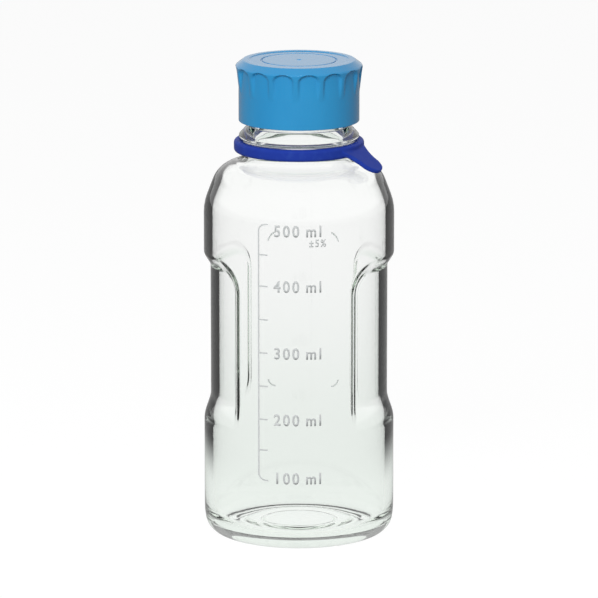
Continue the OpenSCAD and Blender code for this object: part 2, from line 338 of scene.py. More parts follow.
class Graph:
    """Builds the node tree of a material or a world."""

    def __init__(self, owner: bpy.types.Material | bpy.types.World) -> None:
        """Empties the owner's node tree."""
        owner.use_nodes = True
        self.tree = owner.node_tree
        self.tree.nodes.clear()

    def node(
        self, kind: str, settings: dict[str, Any] | None = None, inputs: dict[Any, Any] | None = None
    ) -> bpy.types.Node:
        """Adds a node.

        Args:
            kind: The node's type.
            settings: Its settings, such as a Math node's operation.
            inputs: What goes into each socket, by name or number: a number, a colour, a socket or a Value.

        Returns:
            The new node.
        """
        node = self.tree.nodes.new(kind)
        for name, value in (settings or {}).items():
            setattr(node, name, value)
        for name, value in (inputs or {}).items():
            socket = node.inputs[name]
            if isinstance(value, Value):
                value = value.socket
            if isinstance(value, bpy.types.NodeSocket):
                self.tree.links.new(value, socket)
            elif isinstance(value, tuple) and len(value) == 3 and socket.type == "RGBA":
                socket.default_value = (*value, 1.0)
            else:
                socket.default_value = value
        return node

    def value(self, kind: str, output: str | int = 0, **inputs: Any) -> Value:
        """One output of a new node that has no settings, as a Value."""
        return Value(self, self.node(kind, None, inputs).outputs[output])

    def noise(self, scale: float, detail: float = 2.0, stretch: Colour = WHITE) -> Value:
        """Noise that is fixed to the piece.

        Args:
            scale: Features in a metre.
            detail: How many finer layers it has.
            stretch: Scale of the pattern along each axis.

        Returns:
            The noise, about 0 to 1.
        """
        place = self.node("ShaderNodeTexCoord").outputs["Object"]
        placed = self.node("ShaderNodeMapping", None, {"Vector": place, "Scale": stretch}).outputs[0]
        node = self.node("ShaderNodeTexNoise", None, {"Vector": placed, "Scale": scale, "Detail": detail})
        return Value(self, node.outputs[0])

    def blend(self, factor: Value | float, low: Any, high: Any) -> bpy.types.NodeSocket:
        """A colour between two colours.

        Args:
            factor: 0 for the first colour, 1 for the second.
            low: The first colour, or a socket.
            high: The second colour, or a socket.

        Returns:
            The blended colour's socket.
        """
        node = self.node("ShaderNodeMix", {"data_type": "RGBA"}, {0: factor, 6: low, 7: high})
        return node.outputs[2]

    def bump(self, height: Value, depth: float) -> bpy.types.NodeSocket:
        """A normal that follows a height.

        Args:
            height: The height, about 0 to 1.
            depth: How many metres a height of 1 stands for.

        Returns:
            The normal's socket.
        """
        inputs = {"Strength": 1.0, "Distance": depth, "Height": height}
        return self.node("ShaderNodeBump", None, inputs).outputs[0]

    def principled(self, **inputs: Any) -> bpy.types.NodeSocket:
        """A Principled shader, whose sockets are named with _ for each space."""
        named = {socket.replace("_", " "): value for socket, value in inputs.items()}
        return self.node("ShaderNodeBsdfPrincipled", None, named).outputs[0]

    def close(self, kind: str, shader: bpy.types.NodeSocket) -> None:
        """Connects a shader to a new output node of a kind."""
        self.node(kind, None, {"Surface": shader})


def linear(red: int, green: int, blue: int) -> Colour:
    """A colour for a shader from the numbers, 0 to 255, that a screen shows it by."""
    parts = (c / 255 for c in (red, green, blue))
    return tuple(c / 12.92 if c <= 0.04045 else ((c + 0.055) / 1.055) ** 2.4 for c in parts)


# ----------------------------------------------------------------------------------------------------
# Finishes
# ----------------------------------------------------------------------------------------------------


class Finish:
    """What a piece's surface is made of."""

    def material(self, name: str) -> bpy.types.Material:
        """Makes the finish's material.

        Args:
            name: The material's name.

        Returns:
            The material.
        """
        material = bpy.data.materials.new(name)
        self.draw(Graph(material))
        return material

    def draw(self, graph: Graph) -> None:
        """Adds the finish's nodes to an empty graph, as each kind of finish does in its own way."""
        raise NotImplementedError


@dataclass(frozen=True)
class ClearGlass(Finish):
    """Borosilicate glass with a breath of green, and the faint ripple of blown glass."""

    tint: Colour = WHITE
    deep_tint: Colour = (0.0, 0.45, 0.0)
    density: float = 3.0
    ior: float = 1.473
    ripple: float = 0.003 * MM
    ripples_per_metre: float = 60
    drawn_out: Colour = (1.0, 1.0, 0.25)

    def draw(self, graph: Graph) -> None:
        """Draws rippled glass that lets shadow rays straight through and greens long paths."""
        ripples = graph.bump(graph.noise(self.ripples_per_metre, 1.0, self.drawn_out), self.ripple)
        glass = graph.principled(
            Base_Color=self.tint, Roughness=0.0, IOR=self.ior, Transmission_Weight=1.0, Normal=ripples
        )
        shade = graph.node("ShaderNodeBsdfTransparent", None, {"Color": self.tint})
        lamp_ray = graph.value("ShaderNodeLightPath", "Is Shadow Ray")
        mixed = graph.node("ShaderNodeMixShader", None, {0: lamp_ray, 1: glass, 2: shade.outputs[0]})
        depth = {"Color": self.deep_tint, "Density": self.density}
        inside = graph.node("ShaderNodeVolumeAbsorption", None, depth)
        sockets = {"Surface": mixed.outputs[0], "Volume": inside.outputs[0]}
        graph.node("ShaderNodeOutputMaterial", None, sockets)


@dataclass(frozen=True)
class MouldedPlastic(Finish):
    """Coloured polypropylene, satin, with the fine texture of the mould and a slight flow pattern."""

    colour: Colour
    worn_colour: Colour
    roughness: float = 0.15
    flow_gloss: float = 0.1
    grain_gloss: float = 0.06
    specular: float = 0.5
    flow_per_metre: float = 45
    grains_per_metre: float = 2600
    drawn_out: Colour = (1.0, 1.0, 0.4)
    grain: float = 0.006 * MM

    def draw(self, graph: Graph) -> None:
        """Draws plastic whose colour and gloss follow the flow in the mould."""
        flow = graph.noise(self.flow_per_metre, 3.0, self.drawn_out)
        grain = graph.noise(self.grains_per_metre, 2.0)
        surface = graph.principled(
            Base_Color=graph.blend(flow.between(0.3, 0.75), self.colour, self.worn_colour),
            Roughness=self.roughness + (flow - 0.5) * self.flow_gloss + (grain - 0.5) * self.grain_gloss,
            IOR=1.49,
            Specular_IOR_Level=self.specular,
            Normal=graph.bump(grain, self.grain),
        )
        graph.close("ShaderNodeOutputMaterial", surface)


@dataclass(frozen=True)
class Silicone(Finish):
    """Soft silicone rubber, matt, with a fine dusty grain."""

    colour: Colour
    dusty_colour: Colour
    roughness: float = 0.5
    dust_gloss: float = 0.15
    specular: float = 0.12
    dust_per_metre: float = 300
    grains_per_metre: float = 3200
    grain: float = 0.008 * MM

    def draw(self, graph: Graph) -> None:
        """Draws rubber with dust on its grain."""
        dust = graph.noise(self.dust_per_metre, 4.0)
        grain = graph.noise(self.grains_per_metre, 2.0)
        surface = graph.principled(
            Base_Color=graph.blend(dust.between(0.45, 0.8), self.colour, self.dusty_colour),
            Roughness=self.roughness + (dust - 0.5) * self.dust_gloss,
            IOR=1.41,
            Specular_IOR_Level=self.specular,
            Normal=graph.bump(grain, self.grain),
        )
        graph.close("ShaderNodeOutputMaterial", surface)


@dataclass(frozen=True)
class Enamel(Finish):
    """Light-grey enamel fired onto the glass, thin enough to let a little light through."""

    colour: Colour = linear(212, 215, 215)
    thin_colour: Colour = linear(200, 204, 204)
    roughness: float = 0.5
    pore_gloss: float = 0.2
    cover: float = 0.92
    pore_loss: float = 0.12
    pores_per_metre: float = 1400
    pore: float = 0.01 * MM

    def draw(self, graph: Graph) -> None:
        """Draws enamel with fine pores."""
        pores = graph.noise(self.pores_per_metre, 3.0)
        surface = graph.principled(
            Base_Color=graph.blend(pores.between(0.35, 0.7), self.colour, self.thin_colour),
            Roughness=self.roughness + (pores - 0.5) * self.pore_gloss,
            IOR=1.5,
            Alpha=self.cover - pores.between(0.55, 0.8) * self.pore_loss,
            Normal=graph.bump(pores, self.pore),
        )
        graph.close("ShaderNodeOutputMaterial", surface)


# ----------------------------------------------------------------------------------------------------
# The glass
# ----------------------------------------------------------------------------------------------------


class Wall(Enum):
    """The two faces of the glass."""

    OUTSIDE = "outside"
    INSIDE = "inside"


@dataclass
class GlassBottle:
    """The blown glass bottle: body with side grips, shoulder, neck bead, screw finish and base.

    Sizes are in millimetres. A name that ends in _round is the radius of a corner's rounding.
    """

    body_r: float
    mouth_z: float
    wall: float = 3.5
    base_t: float = 2.8
    punt_h: float = 1.6
    foot_w: float = 4.0
    heel_r: float = 7.0
    heel_sweep_r: float = 30.0
    heel_sweep: float = math.radians(10.5)
    base_ring_r: float = 16.5
    base_ring_h: float = 0.5
    base_ring_w: float = 2.4
    base_ring_round: float = 0.6
    punt_r: float = 26.0
    punt_round: float = 8.0
    floor_r: float = 27.6
    floor_round: float = 9.4
    dish_r: float = 24.0
    dome_r: float = 20.0
    dish_round: float = 9.0
    body_h: float = 134.0
    shoulder_start_r: float = 20.5
    shoulder_slope: float = math.radians(21)
    shoulder_slope_l: float = 6.6
    shoulder_r: float = 11.3
    shoulder_top_slope: float = math.radians(80)
    neck_fillet_r: float = 4.2
    neck_wall: float = 2.0
    neck_r: float = 23.1
    bead_r: float = 24.5
    bead_rise: float = 0.7
    bead_h: float = 1.0
    cone_h: float = 4.0
    finish_h: float = 20.4
    root_r: float = 20.9
    crest_r: float = 22.4
    lip_r: float = 20.2
    lip_h: float = 4.4
    mouth_r: float = 17.5
    bead_round: float = 0.45
    collar_round: float = 0.5
    finish_round: float = 0.8
    lip_round: float = 0.4
    mouth_round: float = 1.0
    bore_round: float = 8.0
    thread: ThreadRidge = field(default_factory=ThreadRidge)
    grip_depth: float = 2.7
    grip_edge: float = math.radians(37.3)
    grip_z: float = 47.5
    grip_top_z: float = 118.0
    grip_run_low: float = 11.5
    grip_run_high: float = 8.0
    grip_step_w: float = 4.4
    grip_top_step_w: float = 6.0
    grip_softness: float = 0.25
    grip_corner_r: float = 13.0
    grip_inner_lead: float = -0.2
    side_r: float = 30.0
    crowding: float = 0.14
    turn_steps: int = 300

    @property
    def collar_z(self) -> float:
        """Height of the bead's underside at the neck."""
        return self.mouth_z - self.finish_h - self.cone_h - self.bead_h - self.bead_rise

    @property
    def finish_z(self) -> float:
        """Height where the threaded finish starts."""
        return self.collar_z + self.bead_rise + self.bead_h + self.cone_h

    @property
    def inner_r(self) -> float:
        """Radius of the cavity in the body."""
        return self.body_r - self.wall

    def shoulder(self) -> list[Vector]:
        """The three corners between the body and the neck, before they are rounded."""
        low = Vector((self.body_r, self.body_h + self.shoulder_start_r * math.tan(self.shoulder_slope / 2)))
        turn = self.shoulder_top_slope - self.shoulder_slope
        run = (
            self.shoulder_start_r * math.tan(self.shoulder_slope / 2)
            + self.shoulder_slope_l
            + self.shoulder_r * math.tan(turn / 2)
        )
        high = low + Vector((-math.sin(self.shoulder_slope), math.cos(self.shoulder_slope))) * run
        rise = (high.x - self.neck_r) / math.tan(self.shoulder_top_slope)
        return [low, high, Vector((self.neck_r, high.y + rise))]

    def outside(self) -> list[Corner]:
        """Corners of the outside, from the middle of the base up to the mouth."""
        heel_x = (
            self.body_r
            - self.heel_sweep_r * (1 - math.cos(self.heel_sweep))
            - self.heel_r * math.cos(self.heel_sweep)
        )
        sweep_z = self.heel_r + (self.heel_sweep_r - self.heel_r) * math.sin(self.heel_sweep)
        sweep_reach = self.heel_sweep_r * math.tan(self.heel_sweep / 2)
        sweep_corner_z = sweep_z - sweep_reach
        foot_x = self.body_r - sweep_corner_z * math.tan(self.heel_sweep)
        foot_r = heel_x - self.foot_w
        low, high, neck = self.shoulder()
        bead_z = self.collar_z + self.bead_rise
        lip_z = self.mouth_z - self.lip_h
        half_ring = self.base_ring_w / 2
        return [
            Corner(0, self.punt_h, pitch=2),
            Corner(self.base_ring_r - 2 * half_ring, self.punt_h, 1.0),
            Corner(self.base_ring_r - half_ring, self.punt_h + self.base_ring_h, self.base_ring_round),
            Corner(self.base_ring_r, self.punt_h, self.base_ring_round),
            Corner(foot_r - self.foot_w, self.punt_h, self.punt_round),
            Corner(foot_r, 0, self.punt_round),
            Corner(foot_x, 0, self.heel_r),
            Corner(self.body_r, sweep_corner_z, self.heel_sweep_r, pitch=2.5),
            Corner(self.body_r, self.grip_z - 1, pitch=0.6),
            Corner(self.body_r, self.grip_z + self.grip_run_low + 1, pitch=2.5),
            Corner(self.body_r, self.grip_top_z - self.grip_corner_r - 1, pitch=0.45),
            Corner(self.body_r, self.grip_top_z + 1, pitch=2.5),
            Corner(low.x, low.y, self.shoulder_start_r),
            Corner(high.x, high.y, self.shoulder_r),
            Corner(neck.x, neck.y, self.neck_fillet_r),
            Corner(self.neck_r, self.collar_z, self.collar_round, pitch=0.4),
            Corner(self.bead_r, bead_z, self.bead_round, pitch=0.4),
            Corner(self.bead_r, bead_z + self.bead_h, self.bead_round, pitch=0.6),
            Corner(self.root_r, self.finish_z, self.finish_round, pitch=0.3),
            Corner(self.root_r, lip_z - self.root_r + self.lip_r, self.lip_round, pitch=0.4),
            Corner(self.lip_r, lip_z, self.lip_round),
            Corner(self.lip_r, self.mouth_z, self.mouth_round),
            Corner((self.lip_r + self.mouth_r) / 2, self.mouth_z),
        ]

    def inside(self) -> list[Corner]:
        """Corners of the cavity, from the mouth down to the middle of the base."""
        low, high, neck = self.shoulder()
        low = inset(low, 0, self.shoulder_slope, self.wall)
        high = inset(high, self.shoulder_slope, self.shoulder_top_slope, self.wall)
        neck = inset(neck, self.shoulder_top_slope, 0, self.neck_wall)
        floor_z = self.base_t + self.punt_h
        return [
            Corner((self.lip_r + self.mouth_r) / 2, self.mouth_z),
            Corner(self.mouth_r, self.mouth_z, self.mouth_round, pitch=2.5),
            Corner(self.mouth_r, self.finish_z, self.bore_round),
            Corner(self.neck_r - self.wall, self.collar_z + self.bead_rise, self.bore_round),
            Corner(neck.x, neck.y, self.neck_fillet_r + self.neck_wall),
            Corner(high.x, high.y, self.shoulder_r - self.wall),
            Corner(low.x, low.y, self.shoulder_start_r - self.wall, pitch=2.5),
            Corner(self.inner_r, self.grip_top_z + self.wall + 1, pitch=0.6),
            Corner(self.inner_r, self.grip_top_z - self.grip_corner_r - 1, pitch=2.5),
            Corner(self.inner_r, self.grip_z + self.grip_run_low + 1, pitch=0.8),
            Corner(self.inner_r, self.grip_z - self.wall - 1, pitch=2.5),
            Corner(self.inner_r, self.base_t, self.floor_round, pitch=1),
            Corner(self.dish_r, self.base_t, self.dish_round),
            Corner(self.dome_r, floor_z, self.dish_round, pitch=2),
            Corner(0, floor_z),
        ]

    def grip(self, angle: float, z: float, wall: Wall) -> float:
        """Depth of a grip recess at a place on the body.

        Args:
            angle: Angle round the axis from the front, in radians.
            z: Height of the place, in millimetres.
            wall: Which face of the glass.

        Returns:
            The depth in millimetres, 0 outside the grips.
        """
        margin = self.grip_inner_lead if wall is Wall.INSIDE else 0.0
        half_w = self.body_r * (math.pi / 2 - self.grip_edge) + margin
        corner_r = self.grip_corner_r + margin
        across = abs(self.body_r * (math.pi / 2 - abs(angle))) - half_w + corner_r
        up = z - self.grip_top_z - margin + corner_r
        reach = math.hypot(max(across, 0.0), max(up, 0.0))
        gap = corner_r - reach - min(max(across, up), 0.0)
        low = (z - self.grip_z + margin) / self.grip_run_low
        upward = (max(up, 0.0) / reach) ** 2 if reach > 0 else 0.0
        step_w = self.grip_step_w + (self.grip_top_step_w - self.grip_step_w) * upward
        softness = 1.0 if wall is Wall.INSIDE else self.grip_softness + (1 - self.grip_softness) * upward
        return self.grip_depth * self.step(gap / step_w, softness) * ease(low)

    def step(self, t: float, softness: float) -> float:
        """Share of a grip's depth at a place across its edge.

        Args:
            t: How far across the edge, from 0 at the lip.
            softness: 0 for a crisp lip, 1 for a rounded one.

        Returns:
            The share, from 0 to 1.
        """
        t = min(1.0, max(0.0, t))
        crisp = t * (2 - t)
        return crisp + (ease(t) - crisp) * softness

    def crowd(self, angle: float) -> float:
        """Moves an angle towards the nearest grip edge, so that the mesh is finer there."""
        return angle + self.crowding * math.sin(4 * angle)

    def level(self, millilitres: float) -> float:
        """Height of the liquid at a volume: plain below and above the grips, narrower between them.

        Args:
            millilitres: The volume.

        Returns:
            The height in millimetres.
        """
        heel_r = self.inner_r - self.floor_r
        plain = math.pi * self.inner_r**2
        sweep = (math.pi - 2 * self.grip_edge) / math.pi
        narrow = plain - sweep * math.pi * (self.inner_r**2 - (self.inner_r - self.grip_depth) ** 2)
        heel_loss = 2 * (1 - math.pi / 4) * heel_r**2 / self.inner_r
        empty_z = self.base_t + heel_loss + self.punt_h * (self.punt_r / self.inner_r) ** 2
        low_z = self.grip_z + self.grip_run_low / 2
        high_z = self.grip_top_z - self.grip_run_high / 2
        low_volume = plain * (low_z - empty_z)
        high_volume = low_volume + narrow * (high_z - low_z)
        volume = millilitres * CUBIC_MM_PER_ML
        if volume < low_volume:
            return empty_z + volume / plain
        if volume < high_volume:
            return low_z + (volume - low_volume) / narrow
        return high_z + (volume - high_volume) / plain

    def build(self, material: bpy.types.Material) -> bpy.types.Object:
        """Makes the glass.

        Args:
            material: Its finish.

        Returns:
            The piece.
        """
        outer = rounded(self.outside())
        bm = turned(outer + rounded(self.inside())[1:], self.turn_steps)
        middle_r = (self.body_r - self.wall / 2) * MM
        thread_z = self.finish_z + self.thread.lift
        for vert in bm.verts:
            x, y, z = vert.co
            radius = math.hypot(x, y)
            if radius < MM:
                continue
            angle = self.crowd(azimuth(x, y))
            height = z / MM
            if radius > self.side_r * MM and height < self.body_h:
                wall = Wall.OUTSIDE if radius > middle_r else Wall.INSIDE
                radius -= self.grip(math.remainder(angle, TURN), height, wall) * MM
            elif height > self.finish_z and radius > (self.root_r - 0.5) * MM:
                lap = (angle - math.pi / 2) % TURN
                ridge = thread_height(lap, height, thread_z, self.thread)
                radius += ridge * (self.crest_r - self.root_r) * MM
            vert.co = (radius * math.sin(angle), -radius * math.cos(angle), z)
        bmesh.ops.recalc_face_normals(bm, faces=bm.faces)
        return into_object("bottle_glass", bm, material)


# ----------------------------------------------------------------------------------------------------
# The closure
# ----------------------------------------------------------------------------------------------------


@dataclass
class ScrewCap:
    """The blue screw cap, fluted round its upper half, with its thread inside. Sizes in millimetres."""

    base_z: float
    top_z: float
    rim_r: float
    band_r: float = 24.65
    band_h: float = 11.6
    bevel_w: float = 3.15
    bevel_h: float = 2.4
    roof_t: float = 2.2
    bore_r: float = 22.8
    thread_crest_r: float = 21.6
    seat_r: float = 21.4
    seat_z: float = 186.0
    thread_z: float = 172.8
    thread: ThreadRidge = field(default_factory=ThreadRidge)
    flutes: int = 15
    flute_w: float = 7.9
    flute_depth: float = 0.15
    flute_arch_h: float = 3.2
    flute_foot_h: float = 7.0
    flute_edge_w: float = 1.0
    groove_r: float = 15.3
    groove_w: float = 0.8
    groove_depth: float = 0.4
    edge_band_w: float = 2.3
    panel_depth: float = 0.3
    groove_bank: float = 0.1
    groove_round: float = 0.15
    dimple_r: float = 1.0
    dimple_floor_r: float = 0.8
    dimple_depth: float = 0.3
    dimple_round: float = 0.2
    band_round: float = 2.0
    rim_round: float = 1.1
    turn_steps: int = 360

    def outline(self) -> list[Corner]:
        """Corners of the cap's section, from the middle of its ceiling round to the middle of its top."""
        rib_z = self.base_z + self.band_h
        rim_z = self.top_z - self.bevel_h
        flat_r = self.rim_r - self.bevel_w
        panel_z = self.top_z - self.panel_depth
        groove_in = self.groove_r - self.groove_w / 2
        groove_out = self.groove_r + self.groove_w / 2
        groove_z = panel_z - self.groove_depth
        return [
            Corner(0, self.top_z - self.roof_t, pitch=3),
            Corner(self.seat_r, self.top_z - self.roof_t, 0.4, pitch=2),
            Corner(self.seat_r, self.seat_z, 0.5),
            Corner(self.bore_r, self.seat_z - self.bore_r + self.seat_r, 0.5, pitch=0.3),
            Corner(self.bore_r, self.base_z, 0.3),
            Corner(self.band_r, self.base_z, 0.35, pitch=2),
            Corner(self.band_r, rib_z, self.band_round, pitch=0.35),
            Corner(self.rim_r, rim_z, self.rim_round, pitch=0.25),
            Corner(flat_r, self.top_z, 0.5, pitch=0.8),
            Corner(flat_r - self.edge_band_w, self.top_z, 0.3),
            Corner(flat_r - self.edge_band_w - self.panel_depth, panel_z, 0.3, pitch=1.5),
            Corner(groove_out, panel_z, self.groove_round),
            Corner(groove_out - self.groove_bank, groove_z, self.groove_round),
            Corner(groove_in + self.groove_bank, groove_z, self.groove_round),
            Corner(groove_in, panel_z, self.groove_round, pitch=2),
            Corner(self.dimple_r, panel_z, self.dimple_round),
            Corner(self.dimple_floor_r, panel_z - self.dimple_depth, self.dimple_round),
            Corner(0, panel_z - self.dimple_depth),
        ]

    def fluted(self, radius: float, angle: float, z: float) -> float:
        """The radius that the flutes leave of a place on the ribs: each is flat, with an arched upper end.

        Args:
            radius: Radius of the place before the flutes, in millimetres.
            angle: Angle round the axis from the front, in radians.
            z: Height of the place, in millimetres.

        Returns:
            The radius in millimetres.
        """
        period = TURN / self.flutes
        off = abs(math.remainder(angle - period / 2, period)) * self.band_r
        below = min(max((self.top_z - self.bevel_h - z) / self.flute_arch_h, 0.0), 1.0)
        half_w = self.flute_w / 2 * math.sqrt(below * (2 - below))
        rise = min(max((z - self.base_z - self.band_h) / self.flute_foot_h, 0.0), 1.0)
        floor_r = self.band_r - self.flute_depth * ease(rise)
        inside = min(max((half_w - off) / self.flute_edge_w + 0.5, 0.0), 1.0) if below > 0 else 0.0
        return radius - max(radius - floor_r, 0.0) * ease(inside)

    def build(self, material: bpy.types.Material) -> bpy.types.Object:
        """Makes the cap.

        Args:
            material: Its finish.

        Returns:
            The piece.
        """
        bm = turned(rounded(self.outline()), self.turn_steps)
        rib_z = self.base_z + self.band_h
        for vert in bm.verts:
            x, y, z = vert.co
            radius = math.hypot(x, y)
            if radius < MM:
                continue
            angle = azimuth(x, y)
            height = z / MM
            if radius > (self.band_r - 0.1) * MM and height > rib_z:
                radius = self.fluted(radius / MM, angle, height) * MM
            elif height < self.seat_z - 1 and radius < (self.bore_r + 0.05) * MM:
                lap = (angle - math.pi / 2) % TURN
                ridge = thread_height(lap, height, self.thread_z, self.thread)
                radius -= ridge * (self.bore_r - self.thread_crest_r) * MM
            vert.co = (radius * math.sin(angle), -radius * math.cos(angle), z)
        bmesh.ops.recalc_face_normals(bm, faces=bm.faces)
        return into_object("cap_shell", bm, material)


@dataclass
class PouringRing:
    """The plastic ring pressed onto the mouth, with its thin pouring edge. Sizes in millimetres."""

    top_z: float
    low_z: float
    out_r: float
    mouth_z: float
    mouth_r: float = 17.5
    lip_r: float = 20.2
    clear: float = 0.1
    thick: float = 0.7
    skirt_h: float = 3.6
    turn_steps: int = 180

    def build(self, material: bpy.types.Material) -> bpy.types.Object:
        """Makes the ring.

        Args:
            material: Its finish.

        Returns:
            The piece.
        """
        in_r = self.mouth_r - self.clear
        under = self.mouth_z + self.clear
        corners = [
            Corner(in_r - self.thick / 2, self.low_z),
            Corner(in_r, self.low_z, 0.2, pitch=2),
            Corner(in_r, under, 0.1),
            Corner(self.lip_r + self.clear, under, 0.1, pitch=2),
            Corner(self.lip_r + self.clear, under - self.skirt_h, 0.2),
            Corner(self.out_r, under - self.skirt_h, 0.2, pitch=2),
            Corner(self.out_r, self.top_z, 0.15),
            Corner(self.out_r - self.thick / 2, self.top_z, 0.15),
            Corner(self.out_r - self.thick, under + self.thick, 0.3),
            Corner(in_r - self.thick, under + self.thick, 0.4, pitch=2),
            Corner(in_r - self.thick, self.low_z, 0.2),
            Corner(in_r - self.thick / 2, self.low_z),
        ]
        return into_object("ring_insert", turned(rounded(corners), self.turn_steps), material)


@dataclass
class CapSeal:
    """The soft sealing disc under the ceiling of the cap. Sizes in millimetres."""

    low_z: float
    top_z: float
    radius: float
    edge_r: float = 0.35
    bead_r: float = 19.0
    bead_half_w: float = 0.8
    bead_rise: float = 0.15
    bead_round: float = 0.3
    turn_steps: int = 150

    def build(self, material: bpy.types.Material) -> bpy.types.Object:
        """Makes the disc, with the shallow ring that the pouring edge presses into it.

        Args:
            material: Its finish.

        Returns:
            The piece.
        """
        corners = [
            Corner(0, self.low_z, pitch=3),
            Corner(self.bead_r - self.bead_half_w, self.low_z, self.bead_round),
            Corner(self.bead_r, self.low_z + self.bead_rise, self.bead_round),
            Corner(self.bead_r + self.bead_half_w, self.low_z, self.bead_round),
            Corner(self.radius, self.low_z, self.edge_r),
            Corner(self.radius, self.top_z, self.edge_r, pitch=3),
            Corner(0, self.top_z),
        ]
        return into_object("seal_disc", turned(rounded(corners), self.turn_steps), material)


@dataclass
class NeckTag:
    """The silicone ring round the neck, with its tongue. Sizes in millimetres."""

    low_z: float
    in_r: float = 23.4
    ring_w: float = 3.2
    ring_h: float = 4.9
    edge_r: float = 1.2
    tongue_angle: float = math.radians(64)
    tongue_slope: float = math.radians(32)
    root_w: float = 15.0
    end_d: float = 11.5
    reach: float = 32.6
    tongue_t: float = 1.8
    flare: float = 1.6
    flare_l: float = 5.0
    voxel: float = 0.32
    soften: int = 6
    soften_share: float = 0.5
    turn_steps: int = 180
    tongue_rows: tuple[int, int] = (48, 16)

    def ring(self, bm: bmesh.types.BMesh) -> None:
        """Adds the ring to a mesh."""
        out_r = self.in_r + self.ring_w
        top_z = self.low_z + self.ring_h
        middle = (self.in_r + out_r) / 2
        corners = [
            Corner(middle, self.low_z),
            Corner(out_r, self.low_z, self.edge_r),
            Corner(out_r, top_z, self.edge_r),
            Corner(self.in_r, top_z, self.edge_r),
            Corner(self.in_r, self.low_z, self.edge_r),
            Corner(middle, self.low_z),
        ]
        part = turned(rounded(corners, math.radians(15)), self.turn_steps)
        mesh = bpy.data.meshes.new("ring")
        part.to_mesh(mesh)
        part.free()
        bm.from_mesh(mesh)
        bpy.data.meshes.remove(mesh)

    def half_width(self, along: float, end_x: float) -> float:
        """Half of the tongue's width: flared at the root, drawn in towards a round end.

        Args:
            along: Distance from the root, in millimetres.
            end_x: Where the centre of the round end lies.

        Returns:
            The half width in millimetres.
        """
        end_r = self.end_d / 2
        if along > end_x:
            return math.sqrt(max(end_r**2 - (along - end_x) ** 2, 0.0))
        straight = self.root_w / 2 + (end_r - self.root_w / 2) * ease(along / end_x)
        flare = max(1 - along / self.flare_l, 0.0)
        return straight + self.flare * flare * flare

    def tongue(self, bm: bmesh.types.BMesh) -> None:
        """Adds the tongue to a mesh: a grid shaped to its outline, thickened, and turned into place."""
        root_x = self.in_r + self.ring_w / 2
        end_x = (self.reach - root_x) / math.cos(self.tongue_slope)
        length = end_x + self.end_d / 2
        long, wide = self.tongue_rows
        sheet = bmesh.ops.create_grid(bm, x_segments=long, y_segments=wide, size=0.5)["verts"]
        for vert in sheet:
            along = (1 - (0.5 - vert.co.x) ** 2) * length
            vert.co = (along * MM, 2 * vert.co.y * self.half_width(along, end_x) * MM, 0)
        bmesh.ops.translate(bm, verts=sheet, vec=(0, 0, -self.tongue_t / 2 * MM))
        faces = list({face for vert in sheet for face in vert.link_faces})
        lifted = bmesh.ops.extrude_face_region(bm, geom=faces, use_keep_orig=True)["geom"]
        top = [g for g in lifted if isinstance(g, bmesh.types.BMVert)]
        bmesh.ops.translate(bm, verts=top, vec=(0, 0, self.tongue_t * MM))
        place = (
            Matrix.Rotation(self.tongue_angle - math.pi / 2, 4, "Z")
            @ Matrix.Translation((root_x * MM, 0, (self.low_z + self.ring_h / 2) * MM))
            @ Matrix.Rotation(self.tongue_slope, 4, "Y")
        )
        bmesh.ops.transform(bm, matrix=place, verts=sheet + top)

    def build(self, material: bpy.types.Material) -> bpy.types.Object:
        """Makes the tag in one piece, with a soft fillet where the tongue leaves the ring.

        Args:
            material: Its finish.

        Returns:
            The piece.
        """
        bm = bmesh.new()
        self.tongue(bm)
        bmesh.ops.recalc_face_normals(bm, faces=bm.faces)
        self.ring(bm)
        rough = into_object("tag_rough", bm, material)
        melt = rough.modifiers.new("melt", "REMESH")
        melt.mode = "VOXEL"
        melt.voxel_size = self.voxel * MM
        smooth = rough.modifiers.new("soften", "SMOOTH")
        smooth.iterations = self.soften
        smooth.factor = self.soften_share
        return evaluated(rough, "tag_band", material)


# ----------------------------------------------------------------------------------------------------
# The prints
# ----------------------------------------------------------------------------------------------------


@dataclass(frozen=True)
class Label:
    """One printed text, with its left edge as a length round the glass from the front. Sizes in millimetres.

    The width is a share of the font's own.
    """

    text: str
    left: float
    middle_z: float
    height: float
    width: float = 0.89


